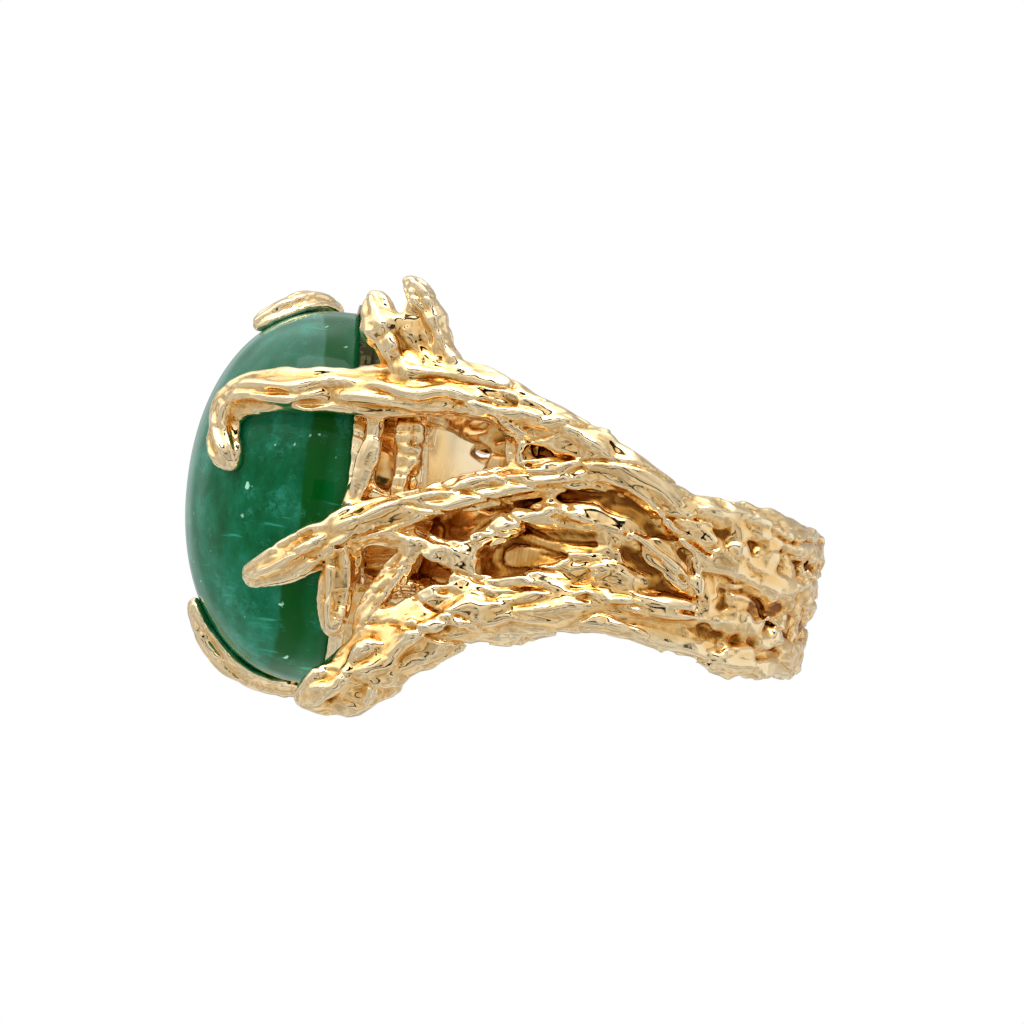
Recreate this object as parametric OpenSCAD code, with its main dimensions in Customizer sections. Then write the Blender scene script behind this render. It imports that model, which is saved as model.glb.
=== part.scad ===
// Cocktail ring: an oval cabochon held by branch-shaped claws on a twig-textured shank.
// Frame: +Z runs along the finger hole, the stone faces -X, and -Y is the side with the window.
// The origin is the centre of the finger hole. Millimetres.

/* [Finger hole and band] */
// Diameter of the finger hole
bore_d = 18; // [17.6:0.1:18.2]
// Thickness of the smooth inner band
band_wall = 1; // [0.9:0.05:1.1]
// Height of the inner band at the back of the finger, along the finger
band_back_h = 6.2; // [5:0.1:7]
// Height of the inner band under the head, along the finger
band_head_h = 12.6; // [11:0.1:13.5]
// How far the back of the band sits below the middle of the stone
band_drop = 1.5; // [1:0.1:2]

/* [Stone] */
// Length of the cabochon, along the finger
stone_l = 18; // [17:0.1:18.4]
// Width of the cabochon, across the finger
stone_w = 13.5; // [12.5:0.1:13.8]
// Height of the cabochon above its base
stone_h = 7.7; // [7:0.1:8]
// Distance from the finger hole's axis to the base of the stone
seat_x = 12.5; // [12.2:0.1:12.8]
// Lean of the head towards its top end, in degrees
head_lean = 3; // [0:0.5:5]

/* [Head] */
// Width of the flat seat under the stone
seat_wall = 2.3; // [2:0.1:2.6]
// Thickness of the seat
seat_t = 0.9; // [0.7:0.1:1.1]
// Thickness of the rim round the stone
rim_wall = 0.4; // [0.3:0.05:0.5]
// How far the rim rises over the base of the stone
rim_rise = 0.35; // [0.25:0.05:0.5]
// Thickness of the gallery wall
gallery_wall_t = 0.8; // [0.6:0.1:1]
// Number of posts round the gallery
post_count = 12; // [10:1:14]

/* [Branches] */
// Scale of every branch's thickness
branch_scale = 1; // [0.9:0.05:1.1]
// Rise and fall of a branch's thickness along its length, as a share
branch_ripple = 0.12; // [0:0.02:0.2]

/* [Hidden] */
bore_r = bore_d / 2;
band_r = bore_r + band_wall;
stone_clearance = 0.05;
oval_sides = 64;
branch_sides = 8;
branch_steps = 3;      // rings between two points of a branch's route
nugget_columns = 13;
nugget_rows = 5;
nugget_r = 0.48;
nugget_arc = 120;      // how much of the band they cover, in degrees
nugget_low = -4.1;     // height of the lowest row
nugget_rise = 5.2;     // from the lowest row to the highest
nugget_lift = 0.15;    // how far off the inner band their feet lie
far_reach = 60;        // longer than any section that it cuts
gold = "goldenrod";

// ---- Branch routes ----
// Each point is [angle, radius, height, thickness]: the angle runs round the finger hole from
// the back of the band (0) through the near side (90) to the stone (180), and the radius and
// height are measured from the finger hole's axis and its middle. The far side is negative.

route_upper_claw_near = [
    [75, 10.3, 1.6, 1.0], [86, 10.5, 2.6, 1.2], [97, 10.6, 3.5, 1.4], [111, 10.8, 4.4, 1.6],
    [123, 11.5, 5.1, 1.8], [134, 12.6, 5.4, 1.9], [144, 14.0, 5.1, 2.0], [153, 15.6, 4.6, 2.0],
    [158, 17.4, 4.3, 2.0], [163, 18.5, 4.1, 1.8], [166.3, 19.2, 3.4, 1.7], [166.6, 19.5, 2.4, 1.6],
    [165.4, 19.4, 1.5, 1.5], [164, 19.2, 0.9, 1.2]
];
route_lower_claw_near = [
    [62, 10.2, -0.4, 1.2], [77, 10.4, 1.0, 1.4], [88, 10.6, 2.4, 1.5], [99, 10.7, 2.9, 1.4],
    [109, 10.8, 2.4, 1.3], [118, 11.1, 1.8, 1.4], [127, 11.8, 1.0, 1.4], [134, 12.6, 0.2, 1.4],
    [141, 13.5, -0.6, 1.5], [147, 14.6, -1.4, 1.8], [151.5, 15.5, -2.4, 1.8], [155.5, 16.4, -3.4, 1.8],
    [159, 17.0, -4.0, 1.5], [161.4, 17.4, -4.4, 1.0]
];
route_bottom_claw_near = [
    [62, 10.2, -3.2, 1.2], [75, 10.4, -2.9, 1.3], [90, 10.5, -3.0, 1.3], [104, 10.6, -3.4, 1.4],
    [118, 11.0, -4.0, 1.6], [127, 11.7, -4.9, 2.0], [134, 12.5, -6.1, 2.4], [140, 13.2, -7.3, 2.6],
    [145, 14.0, -8.4, 2.6], [149, 14.9, -9.3, 2.0]
];
route_upper_claw_far = [
    [-86, 10.5, 3.0, 1.2], [-104, 10.6, 4.6, 1.5], [-122, 11.4, 5.8, 1.6], [-140, 12.8, 6.3, 1.6],
    [-155, 13.6, 6.9, 1.5], [-163, 14.3, 7.9, 1.4], [-171, 14.9, 8.9, 1.4], [-178, 15.8, 9.0, 1.4],
    [-180, 16.8, 8.4, 1.2], [-180, 17.8, 7.8, 1.1]
];
route_middle_claw_far = [
    [-66, 10.3, -0.6, 1.2], [-84, 10.5, 0.8, 1.4], [-102, 10.7, 1.8, 1.4], [-120, 11.3, 1.6, 1.5],
    [-133, 12.4, 1.0, 1.6], [-144, 14.0, 0.6, 1.7], [-151, 15.5, 0.9, 1.7], [-155.5, 17.1, 1.6, 1.5],
    [-161.5, 18.5, 2.6, 1.1]
];
route_lower_claw_far = [
    [-78, 10.4, -2.8, 1.2], [-98, 10.5, -3.2, 1.4], [-118, 11.0, -4.2, 1.6], [-132, 12.2, -5.8, 1.8],
    [-146, 13.2, -7.8, 1.8], [-160, 13.4, -9.0, 1.6], [-171, 14.2, -9.1, 1.4], [-177, 15.8, -9.0, 1.3],
    [-179, 17.1, -8.3, 1.3], [-180, 18.2, -7.2, 1.2], [-180, 18.8, -6.2, 0.8]
];
route_top_twig_stub = [
    [140, 12.8, 5.6, 1.7], [145, 14.0, 6.7, 2.0], [148, 14.7, 7.9, 2.0], [149.5, 15.0, 8.9, 1.7]
];
route_top_twig_long = [
    [126, 11.7, 5.5, 1.0], [134.5, 12.5, 6.4, 1.2], [138.5, 13, 7.8, 1.1], [141, 13.4, 9.1, 1.1],
    [144, 14.1, 10.0, 1.2]
];
route_top_twig_fork = [
    [136, 12.7, 6.2, 0.8], [141, 13.5, 7.3, 0.8], [143.5, 13.9, 8.3, 0.8], [143.5, 14, 9.2, 0.7]
];
route_top_twig_far = [
    [-128, 11.8, 6.2, 1.2], [-140, 12.8, 7.6, 1.3], [-150, 13.2, 9.0, 1.1], [-156, 13.4, 10.2, 0.9]
];
route_middle_branch_near = [
    [68, 10.2, -2.2, 1.0], [78, 10.3, -0.8, 1.1], [87, 10.4, 0.0, 1.0], [97, 10.5, 0.6, 0.9],
    [107, 10.5, 0.6, 1.0], [116, 10.8, 0.2, 1.0], [122, 11.2, -0.8, 1.1], [127, 11.7, -1.6, 1.2],
    [131, 12.2, -2.0, 1.3], [136, 12.8, -1.7, 1.1], [141, 13.5, -1.7, 0.9], [146, 14.2, -1.5, 0.9]
];
route_low_branch_near = [
    [80, 10.2, -2.6, 0.9], [92, 10.4, -1.4, 1.1], [101, 10.5, -1.9, 1.0], [110, 10.6, -2.5, 0.9],
    [119, 11.1, -3.1, 1.0], [128, 11.8, -3.7, 1.0], [136, 12.8, -4.8, 1.1], [143, 13.8, -6.2, 0.9]
];
route_upper_rim_near = [
    [60, 10.2, 1.8, 1.0], [75, 10.4, 1.7, 1.1], [85, 10.5, 2.6, 1.2], [95, 10.6, 3.6, 1.2],
    [106, 10.8, 4.3, 1.2], [118, 11.2, 5.3, 1.2], [128, 12.0, 6.2, 1.0], [136, 12.8, 6.3, 1.0],
    [143, 13.6, 6.0, 1.2]
];
route_lower_rim_near = [
    [52, 10.2, -5.0, 1.2], [65, 10.2, -4.6, 1.0], [80, 10.2, -4.1, 0.9], [94, 10.3, -4.0, 0.9],
    [108, 10.5, -4.2, 0.9], [120, 11.0, -5.0, 1.0], [130, 12.0, -6.4, 1.2], [138, 13.0, -7.9, 1.6],
    [144, 14.0, -9.6, 1.5]
];
route_middle_branch_far = [
    [-70, 10.2, 1.4, 1.0], [-86, 10.4, -0.6, 1.1], [-103, 10.6, -1.0, 1.1], [-119, 11.2, -1.2, 1.2],
    [-131, 12.2, -2.2, 1.2], [-141, 13.4, -2.0, 1.0], [-147, 14.3, -2.6, 0.9]
];
route_low_branch_far = [
    [-62, 10.2, -2.4, 1.0], [-82, 10.3, -1.6, 1.0], [-100, 10.5, -2.4, 1.1], [-117, 11.1, -2.6, 1.1],
    [-130, 12.0, -4.2, 1.2], [-141, 13.3, -5.6, 1.1]
];
route_upper_rim_far = [
    [-58, 10.2, 2.0, 1.0], [-76, 10.4, 2.6, 1.2], [-92, 10.5, 3.9, 1.2], [-108, 10.8, 5.2, 1.2],
    [-122, 11.4, 5.0, 1.3], [-135, 12.6, 4.2, 1.3], [-144, 13.9, 4.4, 1.1]
];
route_lower_rim_far = [
    [-52, 10.2, -4.1, 1.0], [-70, 10.2, -3.5, 0.9], [-88, 10.3, -3.8, 0.9], [-106, 10.5, -4.6, 0.9],
    [-120, 11.2, -5.7, 1.1], [-134, 12.6, -7.3, 1.4], [-144, 13.6, -8.6, 1.3]
];
routes_gallery_near = [
    [[144, 13.9, -5.9, 0.8], [143, 13.7, -4.8, 0.8], [140, 13.2, -3.4, 0.9], [137, 12.9, -2.2, 0.9]],
    [[148, 14.8, -6.2, 0.9], [149, 14.8, -4.8, 1.0], [149, 14.7, -3.2, 0.9], [149, 14.6, -1.8, 0.8]],
    [[148, 14.5, 4.6, 0.8], [147, 14.2, 3.0, 0.7], [148, 14.4, 1.4, 0.8], [149, 14.8, -0.6, 0.8]],
    [[145, 12.9, 4.8, 1.0], [145, 12.6, 3.2, 1.2], [145, 12.6, 1.6, 1.1], [144, 12.8, 0.2, 1.0]],
    [[146, 14.3, -7.8, 0.9], [142, 13.5, -6.8, 1.0], [137, 12.7, -5.7, 0.9], [131, 12.0, -4.8, 0.8]]
];
routes_links_near = [
    [[124, 11.3, 5.0, 1.0], [119, 10.9, 3.6, 0.9], [118, 10.9, 2.2, 1.0]],
    [[104, 10.4, 4.4, 0.8], [99, 10.4, 3.6, 0.8], [96, 10.4, 2.8, 0.8]],
    [[94, 10.3, 0.5, 0.8], [93, 10.3, -0.6, 0.9], [91, 10.3, -1.6, 0.8]],
    [[126, 11.5, -1.6, 0.8], [128, 11.7, -2.8, 0.8], [128, 11.7, -3.8, 0.8]],
    [[70, 10.1, -0.2, 0.9], [67, 10.1, -1.6, 1.0], [66, 10.1, -3.0, 0.9]],
    [[60, 10.1, 1.8, 0.9], [58, 10.1, 0.2, 0.9], [60, 10.1, -1.0, 0.9]]
];
routes_gallery_far = [
    [[-147, 14.6, -6.6, 0.8], [-144, 14.0, -5.0, 0.8], [-141, 13.4, -3.4, 0.9], [-142, 13.6, -1.4, 0.8]],
    [[-148, 14.6, 4.4, 0.8], [-146, 14.0, 3.0, 0.8], [-146, 14.2, 1.4, 0.8]]
];
routes_links_far = [
    [[-109, 10.8, 4.9, 0.9], [-108, 10.7, 3.4, 0.9], [-109, 10.8, 1.8, 0.9]],
    [[-94, 10.4, 3.8, 0.8], [-90, 10.4, 2.4, 0.8], [-92, 10.4, 1.2, 0.8]],
    [[-106, 10.5, -1.2, 0.8], [-104, 10.5, -2.2, 0.8], [-108, 10.6, -3.4, 0.8]],
    [[-72, 10.1, 2.2, 0.9], [-68, 10.1, 0.2, 0.9], [-70, 10.1, -2.0, 0.9]]
];
// Branches that cross the back of the finger, which the nuggets half bury.
routes_back = [
    [[66, 10.1, 1.9, 1.0], [44, 10.2, 1.5, 1.2], [20, 10.2, 1.2, 1.1], [-6, 10.2, 1.5, 1.1],
     [-30, 10.2, 1.2, 1.2], [-52, 10.2, 1.8, 1.1], [-66, 10.1, 2.0, 1.0]],
    [[60, 10.1, -4.8, 1.0], [46, 10.2, -5.0, 1.2], [28, 10.2, -4.4, 1.1], [6, 10.2, -4.0, 1.0],
     [-18, 10.2, -3.9, 1.0], [-40, 10.2, -3.9, 1.0], [-60, 10.1, -3.9, 0.9]],
    [[68, 10.1, -0.4, 1.1], [46, 10.2, -1.2, 1.2], [22, 10.2, -0.8, 1.1], [-4, 10.2, -1.6, 1.1],
     [-28, 10.2, -1.0, 1.2], [-50, 10.2, -1.4, 1.1], [-68, 10.1, -0.8, 1.0]]
];

// ---- Helpers ----

// A point of a route as a place in the ring's frame.
function place(p) = [p[1] * cos(p[0]), -p[1] * sin(p[0]), p[2]];

function unit(v) = v / norm(v);

// Catmull-Rom blend of four values at t, from the second (0) to the third (1).
function blend4(a, b, c, d, t) =
    0.5 * (2 * b + (c - a) * t + (2 * a - 5 * b + 4 * c - d) * t * t
    + (3 * b - a - 3 * c + d) * t * t * t);

function clamp_index(list, i) = list[max(0, min(len(list) - 1, i))];

// A smooth line of [x, y, z, thickness] through a route.
function smooth_line(route) =
    let (q = [for (p = route) concat(place(p), p[3] * branch_scale)])
    [for (i = [0 : len(q) - 2], s = [0 : branch_steps - 1])
        blend4(clamp_index(q, i - 1), q[i], q[i + 1], clamp_index(q, i + 2), s / branch_steps)];

function with_end(route) =
    let (last = route[len(route) - 1])
    concat(smooth_line(route), [concat(place(last), last[3] * branch_scale)]);

function position(p) = [p[0], p[1], p[2]];

function heading(line, i) =
    unit(position(clamp_index(line, i + 1)) - position(clamp_index(line, i - 1)));

// How far a branch has closed at its rounded ends, from 0 to 1.
function end_round(i, last) = i == 0 || i == last ? 0.45 : i == 1 || i == last - 1 ? 0.9 : 1;

// One ring of a branch's skin. Its first axis points away from the finger hole.
function skin_ring(line, i) =
    let (
        last = len(line) - 1,
        p = position(line[i]),
        along = heading(line, i),
        out = unit([p[0], p[1], 0]),
        side = unit(cross(along, out + [0, 0, 0.02])),
        up = cross(side, along),
        r = line[i][3] / 2 * end_round(i, last) * (1 + branch_ripple * sin(137 * i + 90 * p[2]))
    )
    [for (k = [0 : branch_sides - 1])
        let (a = 360 * k / branch_sides)
        p + r * (cos(a) * side + sin(a) * up)];

// A closed solid branch along a route.
module branch(route) {
    line = with_end(route);
    rings = len(line);
    first = position(line[0]) - heading(line, 0) * line[0][3] * 0.25;
    final = position(line[rings - 1]) + heading(line, rings - 1) * line[rings - 1][3] * 0.25;
    points = concat([for (i = [0 : rings - 1]) each skin_ring(line, i)], [first, final]);
    start_cap = rings * branch_sides;
    end_cap = start_cap + 1;
    faces = concat(
        [for (i = [0 : rings - 2], k = [0 : branch_sides - 1])
            let (a = i * branch_sides + k, b = i * branch_sides + (k + 1) % branch_sides)
            each [[a, b, b + branch_sides], [a, b + branch_sides, a + branch_sides]]],
        [for (k = [0 : branch_sides - 1]) [(k + 1) % branch_sides, k, start_cap]],
        [for (k = [0 : branch_sides - 1])
            let (base = (rings - 1) * branch_sides)
            [base + k, base + (k + 1) % branch_sides, end_cap]]
    );
    polyhedron(points, faces);
}

// Takes the space inside the band away from a shape.
module clear_of_band() {
    difference() {
        children();
        cylinder(h = far_reach, r = band_r, center = true, $fn = 128);
    }
}

// An oval outline, long along X.
function oval(l, w) =
    [for (i = [0 : oval_sides - 1])
        let (a = 360 * i / oval_sides)
        [l / 2 * cos(a), w / 2 * sin(a)]];

// Turns a shape drawn upwards on the XY plane so that it rises from the stone's base, towards -X.
module on_head() {
    translate([-seat_x, 0, 0])
        rotate([0, -90 - head_lean, 0])
            children();
}

module oval_ring(l, w, wall, h) {
    linear_extrude(h)
        difference() {
            polygon(oval(l, w));
            polygon(oval(l - 2 * wall, w - 2 * wall));
        }
}

// ---- Stone and its seat ----

dome_rings = 12;
dome_sides = 40;
girdle_h = 1.0;
dome_power = 2.3;      // above 2, the dome is fuller than an ellipse
dome_root = 2.1;

// Share of the base outline that is left at height h on the dome.
function dome_share(h) =
    h <= girdle_h ? 1 : pow(1 - pow((h - girdle_h) / (stone_h - girdle_h), dome_power), 1 / dome_root);

module cabochon() {
    heights = concat([0], [for (i = [0 : dome_rings - 1])
        girdle_h + (stone_h - girdle_h) * sin(90 * i / dome_rings)]);
    skin = [for (h = heights, k = [0 : dome_sides - 1])
        let (a = 360 * k / dome_sides, s = dome_share(h))
        [s * stone_l / 2 * cos(a), s * stone_w / 2 * sin(a), h]];
    rings = len(heights);
    faces = concat(
        [[for (k = [0 : dome_sides - 1]) k]],
        [for (i = [0 : rings - 2], k = [0 : dome_sides - 1])
            let (a = i * dome_sides + k, b = i * dome_sides + (k + 1) % dome_sides)
            each [[a, b + dome_sides, b], [a, a + dome_sides, b + dome_sides]]],
        [for (k = [0 : dome_sides - 1])
            let (last = (rings - 1) * dome_sides)
            [last + (k + 1) % dome_sides, last + k, rings * dome_sides]]
    );
    color("seagreen")
        on_head()
            polyhedron(concat(skin, [[0, 0, stone_h]]), faces);
}

plate_t = 0.3;         // the plate under the stone, which also carries the rim
ledge_inset = 0.8;     // how far the ledge below it stands back

// A thin plate as wide as the rim, on a narrower ledge.
module stone_seat() {
    plate_l = stone_l + 2 * (stone_clearance + rim_wall);
    plate_w = stone_w + 2 * (stone_clearance + rim_wall);
    color(gold)
        on_head() {
            translate([0, 0, -plate_t])
                oval_ring(plate_l, plate_w, seat_wall, plate_t);
            translate([0, 0, -seat_t])
                oval_ring(plate_l - 2 * ledge_inset, plate_w - 2 * ledge_inset,
                    seat_wall - ledge_inset, seat_t);
        }
}

module bezel_rim() {
    outer = stone_clearance + rim_wall;
    color(gold)
        on_head()
            oval_ring(stone_l + 2 * outer, stone_w + 2 * outer, rim_wall, rim_rise);
}

gallery_l = stone_l - 2.2;
gallery_w = stone_w - 2.0;
gallery_h = 3.4;
gallery_foot = -seat_t - gallery_h;

// The wall that carries the seat. It stands on the band, and its ends overhang.
module gallery_wall() {
    color(gold)
        difference() {
            clear_of_band()
                on_head()
                    translate([0, 0, gallery_foot])
                        oval_ring(gallery_l, gallery_w, gallery_wall_t, gallery_h);
            near_window_cut();
        }
}

// Uneven posts round the outside of the gallery wall.
module gallery_posts() {
    color(gold)
        for (i = [0 : post_count - 1]) {
            a = 360 * i / post_count;
            r = 0.5 + 0.12 * sin(200 * i);
            clear_of_band()
                on_head()
                    translate([(gallery_l / 2 + r) * cos(a), (gallery_w / 2 + r) * sin(a), gallery_foot])
                        cylinder(h = gallery_h, r1 = r * 0.8, r2 = r, $fn = 24);
        }
}

// ---- Band ----

// The band's outline seen from the side: x runs from the stone to the back of the finger.
module band_outline() {
    back_top = band_back_h / 2 - band_drop;
    back_bottom = -band_back_h / 2 - band_drop;
    head_half = band_head_h / 2;
    polygon([
        [-band_r - 1, head_half], [-6.2, head_half - 0.3], [-3.3, head_half - 1.6], [0, 3.4],
        [2.4, 2.3], [6, back_top + 0.4], [band_r + 1, back_top],
        [band_r + 1, back_bottom + 0.4], [4.8, back_bottom + 0.3], [2.5, -3.8], [-1, -4.0], [-3, -4.4],
        [-6, -head_half + 0.8], [-band_r - 1, -head_half]
    ]);
}

// The window in each shoulder, seen from the side.
near_window = [
    [-9.4, 0.4], [-9.4, 3.4], [-9.0, 4.2], [-8.4, 4.2], [-7.6, 3.7], [-6.4, 3.5], [-6.2, 2.8],
    [-6.6, 1.6], [-7.4, 0.8], [-8.2, 0.3]
];
far_window = [[-6.5, 3.5], [-6.2, 4.0], [-5.2, 4.3], [-4.3, 4.0], [-4.1, 3.6], [-4.8, 3.3], [-5.8, 3.2]];
window_foot = 2.2;     // how near to the finger's middle plane the windows reach
light_hole_l = 8;
light_hole_w = 6;

module near_window_cut() {
    translate([0, -window_foot, 0])
        rotate([90, 0, 0])
            linear_extrude(far_reach / 2)
                polygon(near_window);
}

module far_window_cut() {
    translate([0, far_reach / 2 + window_foot, 0])
        rotate([90, 0, 0])
            linear_extrude(far_reach / 2)
                polygon(far_window);
}

// The smooth sleeve round the finger, with a window in each shoulder and a light hole under the stone.
module inner_band() {
    color(gold)
        difference() {
            intersection() {
                cylinder(h = far_reach, r = band_r, center = true, $fn = 128);
                rotate([90, 0, 0])
                    linear_extrude(far_reach, center = true)
                        band_outline();
            }
            cylinder(h = far_reach, r = bore_r, center = true, $fn = 128);
            near_window_cut();
            far_window_cut();
            // light hole
            rotate([0, -90, 0])
                linear_extrude(far_reach / 2)
                    polygon(oval(light_hole_l, light_hole_w));
        }
}

// Lumps of cast gold that fill the back of the band.
module back_nuggets() {
    color(gold)
        for (i = [0 : nugget_columns - 1], j = [0 : nugget_rows - 1]) {
            angle = nugget_arc * ((i + 0.5 * (j % 2)) / nugget_columns - 0.5) + 1.2 * sin(97 * i + 53 * j);
            height = nugget_low + nugget_rise * j / (nugget_rows - 1) + 0.15 * sin(71 * i);
            r = nugget_r + 0.03 * sin(131 * i + 61 * j);
            translate(place([angle, band_r + nugget_lift, height]))
                nugget(r, angle);
        }
}

// One lump: a low dome whose flat foot lies on the band.
module nugget(r, angle) {
    rotate([0, 0, -angle])
        rotate([0, 90, 0])
            cylinder(h = r, r1 = r, r2 = 0.55 * r, $fn = 24);
}

// ---- Branches ----

// Branches seated on the outside of the band.
module branches_of(routes) {
    color(gold)
        for (route = routes)
            clear_of_band()
                branch(route);
}

cabochon();
stone_seat();
bezel_rim();
gallery_wall();
gallery_posts();
inner_band();
back_nuggets();
branches_of([route_upper_claw_near]);  // upper_claw_near
branches_of([route_lower_claw_near]);  // lower_claw_near
branches_of([route_bottom_claw_near]);  // bottom_claw_near
branches_of([route_upper_claw_far]);  // upper_claw_far
branches_of([route_middle_claw_far]);  // middle_claw_far
branches_of([route_lower_claw_far]);  // lower_claw_far
branches_of([route_top_twig_stub]);  // top_twig_stub
branches_of([route_top_twig_long]);  // top_twig_long
branches_of([route_top_twig_fork]);  // top_twig_fork
branches_of([route_top_twig_far]);  // top_twig_far
branches_of([route_middle_branch_near]);  // middle_branch_near
branches_of([route_low_branch_near]);  // low_branch_near
branches_of([route_upper_rim_near]);  // upper_rim_near
branches_of([route_lower_rim_near]);  // lower_rim_near
branches_of(routes_gallery_near);  // gallery_twigs_near
branches_of(routes_links_near);  // shoulder_links_near
branches_of([route_middle_branch_far]);  // middle_branch_far
branches_of([route_low_branch_far]);  // low_branch_far
branches_of([route_upper_rim_far]);  // upper_rim_far
branches_of([route_lower_rim_far]);  // lower_rim_far
branches_of(routes_gallery_far);  // gallery_twigs_far
branches_of(routes_links_far);  // shoulder_links_far
branches_of(routes_back);  // back_branches
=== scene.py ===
"""A cocktail ring in bark-textured gold with an oval green cabochon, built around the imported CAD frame.

Every gold piece starts from its CAD solid. A branch's solid gives the line and thickness of a
bundle of melted wires; the other solids are taken as they are. All of them are merged into one
distance field, roughened with stretched noise, and cut apart again along the lines where one
branch meets the next, so that the pieces look fused and stay separate closed meshes.
"""
import math

import bmesh
import bpy
import numpy as np
import openvdb as vdb
from mathutils import Matrix, Vector


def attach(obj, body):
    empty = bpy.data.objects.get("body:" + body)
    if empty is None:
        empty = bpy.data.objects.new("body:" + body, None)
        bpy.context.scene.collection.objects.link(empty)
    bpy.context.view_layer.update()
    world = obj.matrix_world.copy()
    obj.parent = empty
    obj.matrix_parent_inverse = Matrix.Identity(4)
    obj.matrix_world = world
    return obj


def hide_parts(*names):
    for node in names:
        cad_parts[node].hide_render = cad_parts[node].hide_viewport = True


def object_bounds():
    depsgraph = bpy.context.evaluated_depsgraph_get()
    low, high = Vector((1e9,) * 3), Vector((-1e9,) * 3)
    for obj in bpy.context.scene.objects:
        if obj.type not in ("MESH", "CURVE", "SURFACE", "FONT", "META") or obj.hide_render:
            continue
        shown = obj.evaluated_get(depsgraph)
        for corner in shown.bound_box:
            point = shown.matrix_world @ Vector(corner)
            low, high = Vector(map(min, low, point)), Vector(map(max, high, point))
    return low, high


MM = 0.001
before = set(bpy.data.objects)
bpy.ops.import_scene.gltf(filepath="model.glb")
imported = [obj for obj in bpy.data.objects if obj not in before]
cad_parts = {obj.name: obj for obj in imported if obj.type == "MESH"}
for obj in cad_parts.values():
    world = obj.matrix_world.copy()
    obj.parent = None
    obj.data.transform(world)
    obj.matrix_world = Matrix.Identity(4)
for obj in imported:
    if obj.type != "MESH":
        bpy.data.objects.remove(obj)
cad_bounds = [list(corner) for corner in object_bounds()]

# ---------------------------------------------------------------- sizes, in millimetres

VOXEL = 0.09
BAND = 0.6                  # how far from a surface its distances are kept
EDGE = 1.2                  # free room round the whole field
BORE_R = 9.0
SLEEVE_R = 10.0
SEAT_X = -12.5              # the stone's base
HEAD_LEAN = 3.0             # degrees
STONE_CORE = SEAT_X - 0.5   # the claws' outer sides face away from here
STONE_GAP = 0.01
GIRDLE = 1.0                # the stone's straight edge
DOME_POWER, DOME_ROOT = 2.3, 2.1  # how full the dome is
DOME_RINGS, DOME_SIDES = 72, 192
CHIP = 600                  # a solid with fewer corners is a chip, and is left out

FUSE = 0.4                  # how far branches melt into each other
NUGGET_FUSE = 0.3           # how far the back's lumps melt into what is round them
LUMP_FUSE = 0.24            # and into each other
SHELL_FUSE = 0.12           # the same for the sleeve, the gallery wall, the seat and the rim
WIRE_FUSE = 0.13            # how far a branch's own ridges melt into it
OVERLAP = 0.12              # how far a piece reaches in under its neighbours
SINK = 2.0                  # how steeply it goes down there, per millimetre

SWELL = 0.28                # how much thicker the sleeve is between the branches
SWELL_BLEND = 0.35          # over which depth that fades in
STRIP_WIDEN = 1.3           # how much wider the gallery's flat strips are than their wires
CLAW_WIDEN = 1.12
BACK_FROM = 8.0             # where the back starts to lose height towards its edges
BACK_R = 10.3               # only what stands out further than this is lowered there
BACK_MIDDLE, BACK_HALF = -0.3, 1.4  # the middle and half width of what keeps its height
BACK_DROP = 0.45            # how much lower the back is at its edges
CORNER_FROM = -4.2          # below this height is the back's lower edge
CORNER_DROP = 0.2           # how much lower still the back is there

# The bark's relief: how high each part of it is, and how long its waves are along the band, out
# from it and across it.
FLOW_R = 10.5               # at this radius the waves along the band have their full length
BEND, BEND_WAVE = 0.6, 2.4
SWELLS, SWELLS_WAVE = 0.07, (4.0, 1.3, 1.0)
FOLDS, FOLDS_WAVE, FOLD_WIDTH = 0.13, (3.4, 1.2, 0.9), 0.20
WRINKLES, WRINKLES_WAVE, WRINKLE_WIDTH = 0.05, (1.8, 0.8, 0.55), 0.24
PITS, PITS_WAVE, PIT_START = 0.20, (1.5, 0.8, 0.5), 0.4
BARK_RISE = 0.05            # makes up for what the folds take away
HEAD_FROM, HEAD_CALM = -8.5, 0.6  # how much of it the claws and the gallery lose
BACK_ROUGH_FROM, BACK_ROUGH = 2.0, 0.35  # how much more of it the back has
RELIEF_REACH = 0.45         # cells further than this from the surface are left as they are
WALL_CLEAR = 0.15           # the finger hole's wall stays smooth up to here

# How the colour on a corner is judged, for painted shade in the hollows and a painted highlight on the
# ridges: a flat's value, the share of its own height above what is round it, and the share of the metal
# round it.
FLAT_VALUE = 0.52
HEIGHT_SHARE, FULL_HEIGHT = 0.4, 0.06
HOLLOW_SHARE, HOLLOW_REACH = 2.0, 0.7
BORE_DEPTH = 0.9            # up to here the finger hole's wall counts as a ridge, and gets the palest gold as painted light

BRANCHES = [
    "upper_claw_near", "lower_claw_near", "bottom_claw_near",
    "upper_claw_far", "middle_claw_far", "lower_claw_far",
    "top_twig_stub", "top_twig_long", "top_twig_fork", "top_twig_far",
    "middle_branch_near", "low_branch_near", "upper_rim_near", "lower_rim_near",
    "middle_branch_far", "low_branch_far", "upper_rim_far", "lower_rim_far",
    "gallery_twigs_near", "gallery_twigs_far", "shoulder_links_near", "shoulder_links_far",
    "back_branches",
]
SHELLS = ["inner_band", "gallery_wall", "stone_seat", "bezel_rim"]
CLAWS = [
    "upper_claw_near", "lower_claw_near", "upper_claw_far", "middle_claw_far", "lower_claw_far",
]
STRIPS = ["gallery_twigs_near", "gallery_twigs_far"]      # flat strips, wider than their wires
SEAT_PARTS = ["stone_seat", "bezel_rim", "gallery_wall", "gallery_posts"]
# Pieces that lie deep, and by how much their colour is taken down as painted shade.
SUNK_SHADE = {"inner_band": 0.24, "gallery_twigs_near": 0.15, "gallery_twigs_far": 0.15}

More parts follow.
